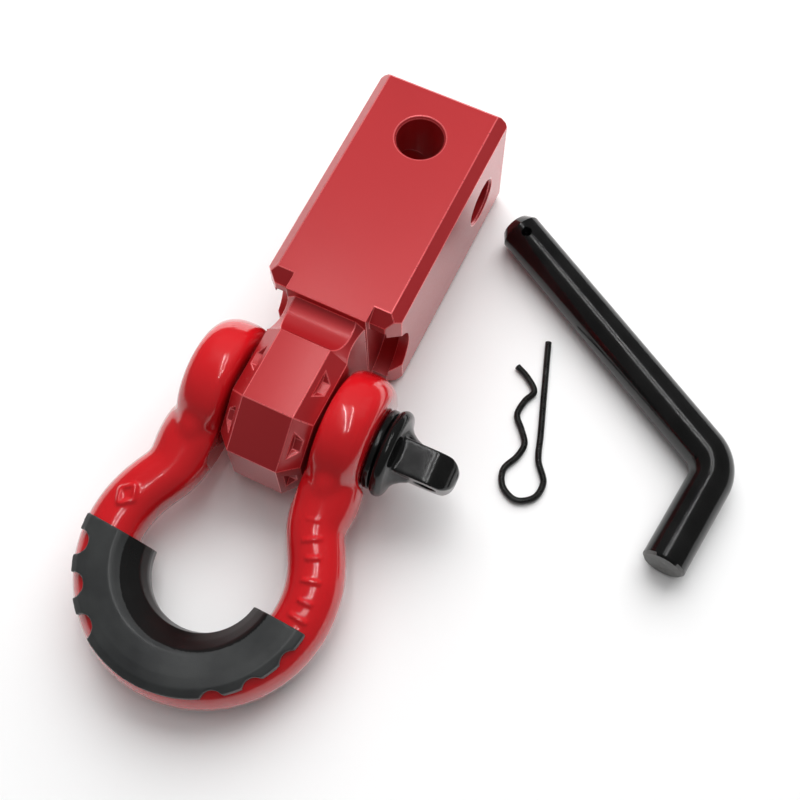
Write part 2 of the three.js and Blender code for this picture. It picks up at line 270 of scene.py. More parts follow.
# ---- Materials ----------------------------------------------------------------------------------
class Nodes:
    """A material's node tree with a Principled shader."""

    def __init__(self, name):
        self.material = bpy.data.materials.new(name)
        self.material.use_nodes = True
        self.tree = self.material.node_tree
        self.shader = self.tree.nodes["Principled BSDF"]
        self.coordinates = self.add("ShaderNodeTexCoord")

    def add(self, kind, **settings):
        node = self.tree.nodes.new(kind)
        for key, value in settings.items():
            setattr(node, key, value)
        return node

    def link(self, output, target):
        self.tree.links.new(output, target)

    def set(self, **values):
        for key, value in values.items():
            self.shader.inputs[key.replace("_", " ")].default_value = value

    def noise(self, scale, detail=2.0, roughness=0.5, stretch=(1, 1, 1)):
        mapping = self.add("ShaderNodeMapping")
        mapping.inputs["Scale"].default_value = stretch
        self.link(self.coordinates.outputs["Object"], mapping.inputs["Vector"])
        node = self.add("ShaderNodeTexNoise")
        node.inputs["Scale"].default_value = scale
        node.inputs["Detail"].default_value = detail
        node.inputs["Roughness"].default_value = roughness
        self.link(mapping.outputs["Vector"], node.inputs["Vector"])
        return node.outputs["Fac"]

    def ramp(self, factor, stops):
        node = self.add("ShaderNodeValToRGB")
        while len(node.color_ramp.elements) < len(stops):
            node.color_ramp.elements.new(0.5)
        for element, (position, colour) in zip(node.color_ramp.elements, stops):
            element.position = position
            element.color = (*colour, 1.0)
        self.link(factor, node.inputs["Fac"])
        return node.outputs["Color"]

    def remap(self, factor, low, high):
        node = self.add("ShaderNodeMapRange")
        node.inputs["To Min"].default_value = low
        node.inputs["To Max"].default_value = high
        self.link(factor, node.inputs["Value"])
        return node.outputs["Result"]

    def bump(self, height, distance, strength=1.0, after=None):
        node = self.add("ShaderNodeBump")
        node.inputs["Distance"].default_value = distance
        node.inputs["Strength"].default_value = strength
        self.link(height, node.inputs["Height"])
        if after is not None:
            self.link(after, node.inputs["Normal"])
        return node.outputs["Normal"]


def anodised(name, low, high, roughness):
    """Bead-blasted aluminium under a thin, clear, dyed oxide; the lighter copy used on the edges is
    a painted highlight.
    """
    n = Nodes(name)
    cloud = n.noise(14.0, 2.0)
    n.link(n.ramp(cloud, [(0.3, low), (0.7, high)]), n.shader.inputs["Base Color"])
    grain = n.noise(1500.0, 2.0)
    n.link(n.remap(grain, roughness - 0.05, roughness + 0.07), n.shader.inputs["Roughness"])
    scratches = n.noise(420.0, 2.0, 0.5, (1, 0.04, 1))
    normal = n.bump(scratches, 0.00002, 0.12)
    normal = n.bump(grain, 0.00003, 0.3, normal)
    n.link(normal, n.shader.inputs["Normal"])
    n.set(Metallic=0.45, IOR=1.5, Coat_Weight=0.9, Coat_Roughness=0.22)
    return n.material


def powder_coat():
    n = Nodes("red_powder_coat")
    cloud = n.noise(22.0, 2.0)
    n.link(n.ramp(cloud, [(0.35, (0.53, 0.005, 0.009)), (0.65, (0.62, 0.008, 0.013))]),
           n.shader.inputs["Base Color"])
    peel = n.noise(330.0, 1.0, 0.4)
    swell = n.noise(110.0, 1.0, 0.4)
    normal = n.bump(peel, 0.00008, 0.25)
    normal = n.bump(swell, 0.0004, 0.55, normal)
    n.link(normal, n.shader.inputs["Normal"])
    n.link(n.remap(n.noise(260.0), 0.14, 0.22), n.shader.inputs["Roughness"])
    n.link(normal, n.shader.inputs["Coat Normal"])
    n.set(IOR=1.5, Coat_Weight=0.9, Coat_Roughness=0.025)
    return n.material


def black_coat():
    n = Nodes("black_coat")
    cloud = n.noise(60.0, 3.0)
    n.link(n.ramp(cloud, [(0.35, (0.0035, 0.0035, 0.0035)), (0.75, (0.009, 0.009, 0.009))]),
           n.shader.inputs["Base Color"])
    speck = n.noise(900.0, 3.0, 0.6)
    swell = n.noise(120.0, 1.0)
    normal = n.bump(swell, 0.0002, 0.2)
    normal = n.bump(speck, 0.00003, 0.25, normal)
    n.link(normal, n.shader.inputs["Normal"])
    n.link(n.remap(n.noise(200.0, 3.0), 0.10, 0.22), n.shader.inputs["Roughness"])
    n.set(IOR=1.5)
    return n.material


def black_wire():
    n = Nodes("black_wire")
    cloud = n.noise(300.0, 3.0)
    n.link(n.ramp(cloud, [(0.35, (0.004, 0.004, 0.004)), (0.75, (0.016, 0.016, 0.015))]),
           n.shader.inputs["Base Color"])
    n.link(n.remap(n.noise(900.0), 0.22, 0.36), n.shader.inputs["Roughness"])
    n.link(n.bump(n.noise(1400.0), 0.00003, 0.3), n.shader.inputs["Normal"])
    n.set(IOR=1.5, Metallic=0.2)
    return n.material


def rubber(name, low, high, roughness):
    n = Nodes(name)
    cloud = n.noise(55.0, 4.0)
    n.link(n.ramp(cloud, [(0.3, low), (0.7, high)]), n.shader.inputs["Base Color"])
    grain = n.noise(2200.0, 2.0, 0.6)
    patches = n.noise(160.0, 3.0)
    normal = n.bump(patches, 0.0001, 0.2)
    normal = n.bump(grain, 0.00006, 0.4, normal)
    n.link(normal, n.shader.inputs["Normal"])
    n.link(n.remap(patches, roughness - 0.06, roughness + 0.06), n.shader.inputs["Roughness"])
    n.set(IOR=1.5)
    return n.material


def pale_bar_end():
    """Pale grey in place of the black coat on the cut end of a bar."""
    n = Nodes("pale_bar_end")
    cloud = n.noise(500.0, 4.0)
    n.link(n.ramp(cloud, [(0.3, (0.09, 0.09, 0.088)), (0.7, (0.16, 0.16, 0.155))]),
           n.shader.inputs["Base Color"])
    n.link(n.remap(cloud, 0.35, 0.55), n.shader.inputs["Roughness"])
    n.link(n.bump(n.noise(1500.0, 3.0), 0.00004, 0.4), n.shader.inputs["Normal"])
    n.set(Metallic=0.3)
    return n.material


BLOCK_RED = anodised("anodised_block", (0.49, 0.016, 0.021), (0.53, 0.019, 0.024), 0.42)
# the edge material is a lighter red that paints a highlight along every bevelled edge
BLOCK_EDGE_HIGHLIGHT = anodised("block_edge_painted_highlight", (0.80, 0.11, 0.12), (0.88, 0.15, 0.16), 0.28)
BOW_RED = powder_coat()
BLACK = black_coat()
WIRE = black_wire()
RUBBER = rubber("isolator_rubber", (0.019, 0.020, 0.021), (0.040, 0.042, 0.042), 0.36)
# the near-black inside rubber is painted shade on the isolator's inner wall
RUBBER_PAINTED_SHADE = rubber("isolator_inside_painted_shade", (0.004, 0.004, 0.004), (0.007, 0.007, 0.007), 0.30)
END_GREY = pale_bar_end()

# ---- Receiver block -----------------------------------------------------------------------------
LONG_CHAMFER = 3.9
REAR_CHAMFER = 1.0
CORNER_Y = -93.0
CORNER_CHAMFER = 4.4
TAB_Y = -95.2
BOSS_HALF = 15.15
TAB_HALF = BOSS_HALF
BOSS_CHAMFER = 5.9
NECK_END_Y = -109.4
BOSS_BORE = 12.0
HITCH_Y = -21.0
HITCH_RADIUS = 8.6
HITCH_CHAMFER = 0.8
TOP_GROOVE = (-100.9, 5.2, 10.0)    # y, distance outside the face, radius
SIDE_GROOVE = (-101.6, 18.4, 20.0)
RELIEF_Y = -97.5
POST_RELIEF = 14.6
INNER_RELIEF = 17.5
INNER_RELIEF_HALF = 21.3
NOTCH_FLOOR = 2.1
NOTCH_DEPTH = 4.5
NOTCH_X = 10.8
TOP_NOTCH_Y = -121.2
EDGE_WIDTH = 0.28                   # bevel on the machined edges
TOP_INSET = 0.002                   # keeps the bevelled top inside the bar's height


def diagonal(axis_a, sign_a, axis_b, sign_b):
    normal = Vector((0, 0, 0))
    normal[axis_a] = sign_a
    normal[axis_b] = sign_b
    return normal.normalized()


def shank():
    planes = []
    for sx in (-1, 1):
        for sz in (-1, 1):
            corner = (sx * HALF, 0, HALF + sz * (HALF - LONG_CHAMFER))
            planes.append((corner, diagonal(0, sx, 2, sz)))
        planes.append(((sx * (HALF - CORNER_CHAMFER), CORNER_Y, 0), diagonal(0, sx, 1, -1)))
        planes.append(((sx * (HALF - REAR_CHAMFER), 0, 0), diagonal(0, sx, 1, 1)))
    for sz in (-1, 1):
        planes.append(((0, CORNER_Y, HALF + sz * (HALF - CORNER_CHAMFER)), diagonal(1, -1, 2, sz)))
        planes.append(((0, 0, HALF + sz * (HALF - REAR_CHAMFER)), diagonal(1, 1, 2, sz)))
    return clipped("receiver_block_body", (-HALF, CORNER_Y, 0), (HALF, 0, BAR), planes)


def boss():
    """Neck and octagonal boss; each octagon face has two chamfered edges."""
    centre = Vector((0, PIN_Y, HALF))
    planes = []
    for face in range(5):
        angle = math.radians(90 + 45 * face)
        out = Vector((0, math.cos(angle), math.sin(angle)))
        planes.append((centre + out * HALF, out))
        for sx in (-1, 1):
            edge = centre + out * (HALF - BOSS_CHAMFER) + Vector((sx * BOSS_HALF, 0, 0))
            planes.append((edge, (out + Vector((sx, 0, 0))).normalized()))
    low = (-BOSS_HALF, PIN_Y - 2 * HALF, -HALF)
    high = (BOSS_HALF, TAB_Y + 1, BAR + HALF)
    return clipped("boss", low, high, planes)


def groove_cutter(groove, distance, angle):
    y, out, radius = groove
    cutter = cylinder_x("groove", radius, -80, 80, 160)
    turn = Matrix.Rotation(angle, 4, "Y")
    return transform(cutter, Matrix.Translation((0, y, HALF)) @ turn
                     @ Matrix.Translation((0, 0, distance + out)))


def groove_window(cutter):
    """Grooves are cut only between the tab and the boss."""
    window = new_object("window", box((-60, NECK_END_Y, -40), (60, TAB_Y, 100)))
    return boolean(cutter, window, "INTERSECT")


def notch_cutter(face, side):
    open_half = NOTCH_FLOOR + NOTCH_DEPTH + 1
    outline = [(-open_half, 1.0), (-NOTCH_FLOOR, -NOTCH_DEPTH), (NOTCH_FLOOR, -NOTCH_DEPTH),
               (open_half, 1.0)]
    bm = bmesh.new()
    near = [bm.verts.new((side * NOTCH_X, y, z + HALF)) for y, z in outline]
    far = [bm.verts.new((side * (BOSS_HALF + 2), y, z + HALF)) for y, z in outline]
    bm.faces.new(near)
    bm.faces.new(far)
    for i in range(4):
        bm.faces.new((near[i], near[(i + 1) % 4], far[(i + 1) % 4], far[i]))
    cutter = new_object("notch", bm)
    shift = {0: TOP_NOTCH_Y - PIN_Y, 4: PIN_Y - TOP_NOTCH_Y}.get(face, 0)
    return transform(cutter, Matrix.Translation((0, PIN_Y, HALF))
                     @ Matrix.Rotation(math.radians(45 * face), 4, "X")
                     @ Matrix.Translation((0, shift, 0)))


def hitch_hole():
    reach = HALF + 1
    inner = HALF - HITCH_CHAMFER
    mouth = HITCH_RADIUS + HITCH_CHAMFER + 1
    return turned("hitch_hole", [(-reach, 0), (-reach, mouth), (-inner, HITCH_RADIUS),
                                 (inner, HITCH_RADIUS), (reach, mouth), (reach, 0)], 96)


def receiver_block():
    block = shank()
    for side in (-1, 1):
        relief = turned("relief", [(side * x, radius) for x, radius in (
            (BOSS_HALF, 0), (BOSS_HALF, INNER_RELIEF), (INNER_RELIEF_HALF, INNER_RELIEF),
            (INNER_RELIEF_HALF, POST_RELIEF), (60, POST_RELIEF), (60, 0))], 120)
        boolean(block, transform(relief, Matrix.Translation((0, RELIEF_Y, HALF))))
    tab = new_object("tab", box((-TAB_HALF, TAB_Y, 0), (TAB_HALF, TAB_Y + 20, BAR)))
    boolean(block, tab, "UNION")
    boolean(block, boss(), "UNION")
    flat_to_chamfer = (BOSS_HALF + HALF - BOSS_CHAMFER) * math.sqrt(0.5)
    grooves = [(TOP_GROOVE, HALF, 0), (TOP_GROOVE, HALF, math.pi),
               (SIDE_GROOVE, BOSS_HALF, math.pi / 2), (SIDE_GROOVE, BOSS_HALF, -math.pi / 2)]
    grooves += [(SIDE_GROOVE, flat_to_chamfer, turn * math.pi / 4) for turn in (1, 3, 5, 7)]
    for groove, distance, angle in grooves:
        boolean(block, groove_window(groove_cutter(groove, distance, angle)))
    for side in (-1, 1):
        for face in range(5):
            boolean(block, notch_cutter(face, side))
    boolean(block, cylinder_x("pin_bore", BOSS_BORE, -60, 60, 128, PIN_Y, HALF))
    across = transform(hitch_hole(), Matrix.Translation((0, HITCH_Y, HALF)))
    down = transform(hitch_hole(), Matrix.Translation((0, HITCH_Y, HALF))
                     @ Matrix.Rotation(math.pi / 2, 4, "Y"))
    boolean(block, across)
    boolean(block, down)
    dissolve_flat(block)
    block.data.materials.append(BLOCK_RED)
    block.data.materials.append(BLOCK_EDGE_HIGHLIGHT)
    # the bevels get the lighter red: a painted highlight along the edges
    edge_bevel(block, EDGE_WIDTH, 1)
    for vertex in block.data.vertices:
        vertex.co.z = min(max(vertex.co.z, 0.0), BAR - TOP_INSET)
    shade(block, 12.0)
    return finish_piece(block, bench_matrix(), "receiver", "receiver_block",
                        [BLOCK_RED, BLOCK_EDGE_HIGHLIGHT])


# ---- Shackle ------------------------------------------------------------------------------------
ROD = 10.1
CROWN_RADIUS = 36.0
CROWN_CENTRE = 60.7
CROWN_ARC = math.radians(107.4)
LEG_X = 26.4
LEG_STRAIGHT = 29.5
SWELL = 1.9                         # the leg grows into the ear
SWELL_START = 38.0
SWELL_LENGTH = 18.0
EAR_INNER = 16.5
EAR_OUTER = 34.0
SPOT_FACE = 16.4
PIN_RADIUS = 11.1
PITCH = 25.4 / 9
THREAD_DEPTH = 1.25
THREAD_START = -34.0
THREAD_END = -14.6
THREAD_ROOT = 0.12                  # flat at the root, then the flank, in parts of half a turn
THREAD_FLANK = 0.70
THREAD_RUN_OUT = 1.5
THREAD_RUN_IN = 1.2
TIP_TAPER = 0.9
BORE_GAP = 0.35
CROWN_HANDLE = 11.2                 # how the crown's arc runs into the leg
LEG_HANDLE = 8
LEG_END = (LEG_X - 2.4, 12.0)       # where the centreline ends inside the ear
EAR_PROFILE = [(EAR_INNER, 0), (EAR_INNER, 19.5), (17.6, 21.8), (19.8, 23.0), (26.5, 23.0),
               (30.5, 21.7), (33.3, 19.2), (EAR_OUTER, 16.0), (EAR_OUTER, 0)]   # (x, radius)
GUSSET_CENTRE = (25.2, -14.5)
GUSSET_RADII = (8.8, 17.0, 15.2)
MARK_RADIUS = 0.8
MARK_SINK = 0.15
MARK_FIRST = 22.0                   # distances along the leg from the ear's end
MARK_PITCH = 6.6
MARK_HALVES = (2.4, 3.4)
LOZENGE_AT = 40.0
LOZENGE = [(-4.2, 0), (0, 3.2), (4.2, 0), (0, -3.2)]
BLEND_VOXEL, BLEND_STEPS = 0.8, 26  # melts bar, ears and gussets into one forging
BOW_VOXEL, BOW_STEPS = 0.55, 2


def bezier(p0, p1, p2, p3, steps):
    points = []
    for i in range(1, steps + 1):
        t = i / steps
        a, b, c, d = (1 - t) ** 3, 3 * t * (1 - t) ** 2, 3 * t * t * (1 - t), t ** 3
        points.append(tuple(a * p0[k] + b * p1[k] + c * p2[k] + d * p3[k] for k in range(2)))
    return points


def bow_half():
    """Right half of the centreline, crown to ear, in (x, distance from the pin)."""
    points = []
    for i in range(49):
        angle = CROWN_ARC * i / 48
        points.append((CROWN_RADIUS * math.sin(angle),
                       CROWN_CENTRE + CROWN_RADIUS * math.cos(angle)))
    start = points[-1]
    handle = (start[0] + CROWN_HANDLE * math.cos(CROWN_ARC),
              start[1] - CROWN_HANDLE * math.sin(CROWN_ARC))
    points += bezier(start, handle, (LEG_X, LEG_STRAIGHT + LEG_HANDLE), (LEG_X, LEG_STRAIGHT), 14)
    points += bezier((LEG_X, LEG_STRAIGHT), (LEG_X, LEG_STRAIGHT - 5), (LEG_X - 1.6, 17.0),
                     LEG_END, 8)
    return points


def bow_rod(name, radius, sides):
    half = bow_half()
    line = [(-x, -s) for x, s in reversed(half[1:])] + [(x, -s) for x, s in half]
    stations = [(*line[0], 0, 0)]
    for x, y in line:
        swell = min(1.0, max(0.0, (SWELL_START + y) / SWELL_LENGTH))
        stations.append((x, y, 0, radius + SWELL * swell * swell * (3 - 2 * swell)))
    stations.append((*line[-1], 0, 0))
    return swept(name, stations, sides)


def ear(side):
    obj = turned("ear", EAR_PROFILE, 128)
    if side < 0:
        transform(obj, Matrix.Rotation(math.pi, 4, "Z"))
    return obj


def gusset(side):
    """Fills the corner where the leg's round bar runs into the ear."""
    bm = bmesh.new()
    bmesh.ops.create_uvsphere(bm, u_segments=48, v_segments=32, radius=1.0)
    obj = new_object("gusset", bm)
    x, y = GUSSET_CENTRE
    return transform(obj, Matrix.Translation((side * x, y, 0))
                     @ Matrix.Diagonal((*GUSSET_RADII, 1.0)))


def threaded_rod(name, extra, start, end, x_low, x_high):
    """A rod whose surface carries the pin's thread between start and end, bigger by extra."""
    sides = 72
    step = PITCH / 16
    tapered = start > x_low - 1         # the thread begins at the rod's own tip
    bm = bmesh.new()
    rows = []
    count = round((x_high - x_low) / step)
    for i in range(count + 1):
        x = x_low + (x_high - x_low) * i / count
        run_out = min(1.0, max(0.0, (end - x) / THREAD_RUN_OUT))
        run_in = min(1.0, max(0.0, (x - start) / THREAD_RUN_IN))
        fade = run_out * run_in
        row = []
        for k in range(sides):
            turn = k / sides
            phase = (x / PITCH - turn) % 1.0
            wave = abs(phase * 2 - 1)
            height = min(1.0, max(0.0, (wave - THREAD_ROOT) / THREAD_FLANK))
            radius = PIN_RADIUS + extra - THREAD_DEPTH * (1 - height) * fade
            if tapered:
                radius -= max(0.0, start + THREAD_RUN_IN - x) * TIP_TAPER
            angle = 2 * math.pi * turn
            row.append(bm.verts.new((x, radius * math.cos(angle), radius * math.sin(angle))))
        rows.append(row)
    for a, b in zip(rows, rows[1:]):
        for k in range(sides):
            j = (k + 1) % sides
            bm.faces.new((a[k], a[j], b[j], b[k]))
    bm.faces.new(rows[0])
    bm.faces.new(rows[-1])
    return new_object(name, bm)


def marks(side, distance, strokes):
    """Low raised strokes, each ((along, across), (along, across)), on top of one leg of the bow."""
    line = [Vector((side * x, -y)) for x, y in reversed(bow_half())]
    while (line[1] - line[0]).length < distance:
        distance -= (line[1] - line[0]).length
        line.pop(0)
    centre = line[0]
    along = (line[1] - line[0]).normalized()
    across = Vector((-along.y, along.x))
    bars = []
    for start, end in strokes:
        stations = []
        for i in range(7):
            u, v = Vector(start).lerp(Vector(end), i / 6)
            spot = centre + along * u + across * (ROD * math.sin(v / ROD))
            stations.append((spot.x, spot.y, ROD * math.cos(v / ROD) - MARK_SINK,
                             MARK_RADIUS))
        stations = [(*stations[0][:3], 0)] + stations + [(*stations[-1][:3], 0)]
        bars.append(swept("mark", stations, 12))
    return bars


def forging_marks():
    """Plain raised bars on the right leg and a lozenge on the left, in place of lettering."""
    bars = []
    for i in range(6):
        half = MARK_HALVES[i % 2]
        bars += marks(1, MARK_FIRST + MARK_PITCH * i, [((0, -half), (0, half))])
    bars += marks(-1, LOZENGE_AT, [(LOZENGE[i], LOZENGE[(i + 1) % 4]) for i in range(4)])
    return bars


def shackle_bow():
    bow = bow_rod("shackle_bow_body", ROD, 64)
    joined(bow, ear(1), ear(-1), gusset(1), gusset(-1))
    remeshed(bow, BLEND_VOXEL, BLEND_STEPS)
    between = box((-EAR_INNER, -LEG_STRAIGHT, -30), (EAR_INNER, 30, 30))
    boolean(bow, new_object("between", between))
    boolean(bow, cylinder_x("right_bore", PIN_RADIUS + BORE_GAP, 0, 60))
    boolean(bow, threaded_rod("left_bore", BORE_GAP, -60.0, -10.0, -45.0, -12.0))
    boolean(bow, cylinder_x("right_face", SPOT_FACE, EAR_OUTER, 60))
    boolean(bow, cylinder_x("left_face", SPOT_FACE, -60, -EAR_OUTER))
    joined(bow, *forging_marks())
    remeshed(bow, BOW_VOXEL, BOW_STEPS)
    shade(bow, 180.0)
    return finish_piece(bow, shackle_matrix(), "shackle", "shackle_bow",
                        [BOW_RED])


WASHER_X = EAR_OUTER + GAP
WASHER_THICKNESS = 2.5
WASHER_RADIUS = 14.3
COLLAR_X = WASHER_X + WASHER_THICKNESS + GAP
COLLAR_THICKNESS = 4.8
COLLAR_END = COLLAR_X + COLLAR_THICKNESS
COLLAR_FLARE = [(0.7, 11.2), (1.9, 9.5), (4, 8.0), (6.5, 7.0), (6.5, 0)]   # (beyond it, radius)
HEAD_VOXEL, HEAD_STEPS = 0.42, 6
COLLAR_RADIUS = 15.6
TANG_THICKNESS = 12.0
TANG_HALF = 9.5
TANG_END_RADIUS = 5.0
EYE_X = 54.2
EYE_RADIUS = 4.0
TANG_TILT = math.radians(4.8)


def tang():
    """The flat plate at the pin's head, with its eye."""
    bm = bmesh.new()
    outline = [(COLLAR_END - 2, -TANG_HALF)]
    for i in range(33):
        angle = -math.pi / 2 + math.pi * i / 32
        outline.append((EYE_X + TANG_HALF * math.cos(angle), TANG_HALF * math.sin(angle)))
    outline.append((COLLAR_END - 2, TANG_HALF))
    half = TANG_THICKNESS / 2
    front = [bm.verts.new((x, -half, z)) for x, z in outline]
    back = [bm.verts.new((x, half, z)) for x, z in outline]
    bm.faces.new(front)
    bm.faces.new(back)
    for i in range(len(outline)):
        j = (i + 1) % len(outline)
        bm.faces.new((front[i], front[j], back[j], back[i]))
    plate = new_object("tang", bm)
    end = EYE_X + TANG_HALF
    plan = [(COLLAR_END - 4, -half)]
    for side in (-1, 1):
        for i in range(13):
            angle = math.radians(7.5 * (i - 12 if side < 0 else i))
            plan.append((end - TANG_END_RADIUS * (1 - math.cos(angle)),
                         side * (half - TANG_END_RADIUS) + TANG_END_RADIUS * math.sin(angle)))
    plan.append((COLLAR_END - 4, half))
    bm = bmesh.new()
    low = [bm.verts.new((x, y, -20)) for x, y in plan]
    high = [bm.verts.new((x, y, 20)) for x, y in plan]
    bm.faces.new(low)
    bm.faces.new(high)
    for i in range(len(plan)):
        j = (i + 1) % len(plan)
        bm.faces.new((low[i], low[j], high[j], high[i]))
    boolean(plate, new_object("plan", bm), "INTERSECT")
    eye = cylinder_x("eye", EYE_RADIUS, -20, 20, 48)
    transform(eye, Matrix.Translation((EYE_X, 0, 0)) @ Matrix.Rotation(math.pi / 2, 4, "Z"))
    boolean(plate, eye)
    return transform(plate, Matrix.Rotation(TANG_TILT, 4, "X"))


def shackle_pin():
    rim = COLLAR_RADIUS
    middle, half = (COLLAR_X + COLLAR_END) / 2, (COLLAR_END - COLLAR_X) / 2
    profile = [(COLLAR_X, 0)]
    for i in range(0, 13):
        angle = math.radians(180 - 15 * i)
        profile.append((middle + half * math.cos(angle), rim - half + half * math.sin(angle)))
    profile += [(COLLAR_END + past, radius) for past, radius in COLLAR_FLARE]
    head = turned("shackle_pin_body", profile, 128)
    joined(head, tang())
    remeshed(head, HEAD_VOXEL, HEAD_STEPS)
    boolean(head, new_object("behind", box((-60, -30, -30), (COLLAR_X, 30, 30))))
    shank_rod = threaded_rod("shank", 0.0, THREAD_START, THREAD_END, THREAD_START, COLLAR_X + 2)
    boolean(head, shank_rod, "UNION")
    shade(head, 60.0)
    return finish_piece(head, shackle_matrix(), "screw_pin", "shackle_pin", [BLACK])


def pin_washer():
    bore = PIN_RADIUS + GAP
    end = WASHER_X + WASHER_THICKNESS
    rim = 0.8
    profile = [(WASHER_X, bore + 0.2), (WASHER_X, WASHER_RADIUS - rim)]
    for x, start in ((WASHER_X + rim, 180), (end - rim, 90)):
        for i in range(1, 7):
            angle = math.radians(start - 15 * i)
            profile.append((x + rim * math.cos(angle), WASHER_RADIUS - rim + rim * math.sin(angle)))
    profile += [(end, bore + 0.2), (end - 0.2, bore), (WASHER_X + 0.2, bore)]
    ring = turned("pin_washer_body", profile, 128, ring=True)
    shade(ring, 40.0)
    return finish_piece(ring, shackle_matrix(), "pin_carriage", "pin_washer", [BLACK])


# ---- Isolator -----------------------------------------------------------------------------------
ISOLATOR_END = 2.1
ISOLATOR_TURN = math.radians(-4.6)
ISOLATOR_SHIFT = (0.3, -1.3)
ISOLATOR_ROLL = math.radians(10)
ISOLATOR_TOP = 12.2
ISOLATOR_LIP = 42.3
ISOLATOR_RIDGE = 27.0               # the inside wall is painted darker, as shade, and is a little glossier, up to this reach
SCALLOP_RADIUS = 4.3
SCALLOP_REACH = 43.4
SCALLOPS = (35.6, 54.6, 73.9)       # degrees from the crown's middle
ISOLATOR_UPPER = [(19.5, 0.8), (20.4, 5.0), (23.6, 8.2), (27.0, 11.2), (28.4, 12.0), (32.0, 12.15),
                  (36.0, ISOLATOR_TOP), (39.6, 11.9), (ISOLATOR_LIP, 10.6)]   # (reach, height)
PAD_VOXEL, PAD_STEPS = 0.42, 2


def bow_isolator():
    section = ISOLATOR_UPPER + [(r, -z) for r, z in reversed(ISOLATOR_UPPER)]
    steps = 240
    bm = bmesh.new()
    rows = []
    for i in range(steps):
        angle = 2 * math.pi * i / steps
        roll = ISOLATOR_ROLL * math.cos(angle)
        row = []
        for reach, z in section:
            out = reach - CROWN_RADIUS
            rolled = CROWN_RADIUS + out * math.cos(roll) - z * math.sin(roll)
            height = out * math.sin(roll) + z * math.cos(roll)
            row.append(bm.verts.new((rolled * math.cos(angle), rolled * math.sin(angle), height)))
        rows.append(row)
    for i in range(steps):
        a, b = rows[i], rows[(i + 1) % steps]
        for k in range(len(section)):
            j = (k + 1) % len(section)
            bm.faces.new((a[k], a[j], b[j], b[k]))
    pad = new_object("bow_isolator_body", bm)
    keep = new_object("keep", box((-80, -90, -40), (80, -ISOLATOR_END, 40)))
    boolean(pad, keep, "INTERSECT")
    for side in (-1, 1):
        for angle in SCALLOPS:
            a = math.radians(angle)
            cutter = cylinder_x("scallop", SCALLOP_RADIUS, -40, 40, 64)
            transform(cutter, Matrix.Translation((side * SCALLOP_REACH * math.sin(a),
                                                  -SCALLOP_REACH * math.cos(a), 0))
                      @ Matrix.Rotation(math.pi / 2, 4, "Y"))
            boolean(pad, cutter)
    transform(pad, Matrix.Translation((ISOLATOR_SHIFT[0], ISOLATOR_SHIFT[1] - CROWN_CENTRE, 0))
              @ Matrix.Rotation(ISOLATOR_TURN, 4, "Z"))
    boolean(pad, bow_rod("channel", ROD + GAP, 64))
    remeshed(pad, PAD_VOXEL, PAD_STEPS)
    shade(pad, 180.0)
    pad.data.materials.append(RUBBER)
    pad.data.materials.append(RUBBER_PAINTED_SHADE)
    centre = Vector((ISOLATOR_SHIFT[0], ISOLATOR_SHIFT[1] - CROWN_CENTRE))
    # faces within the ridge take the darker rubber: painted shade on the inner wall
    for polygon in pad.data.polygons:
        inside = (polygon.center.xy - centre).length < ISOLATOR_RIDGE
        polygon.material_index = 1 if inside else 0
    return finish_piece(pad, shackle_matrix(), "shackle", "bow_isolator",
                        [RUBBER, RUBBER_PAINTED_SHADE])


# ---- Hitch pin and clip -------------------------------------------------------------------------
BAR_PIN = 7.95                      # height of its axis above the bench
BAR_RADIUS = 7.88
BAR_BEND = Vector((141.9, -73.6))
LONG_LEG = 119.5
LONG_HEADING = math.radians(150.4)
SHORT_LEG = 42.6
SHORT_HEADING = math.radians(-96.4)
BEND_RADIUS = 12.5
TIP_BEVEL = 3.4
TIP_DEPTH = 2.2
CROSS_HOLE = 2.0
CROSS_FROM_TIP = 7.7
CROSS_LEAN = math.radians(10)
END_BEVEL = 0.9                     # the short leg's cut end, and the shallow dimple in it
END_RIM = 2.6
DIMPLE_RADIUS = 1.6
DIMPLE_DEPTH = 0.5


def heading(angle):
    return Vector((math.cos(angle), math.sin(angle)))


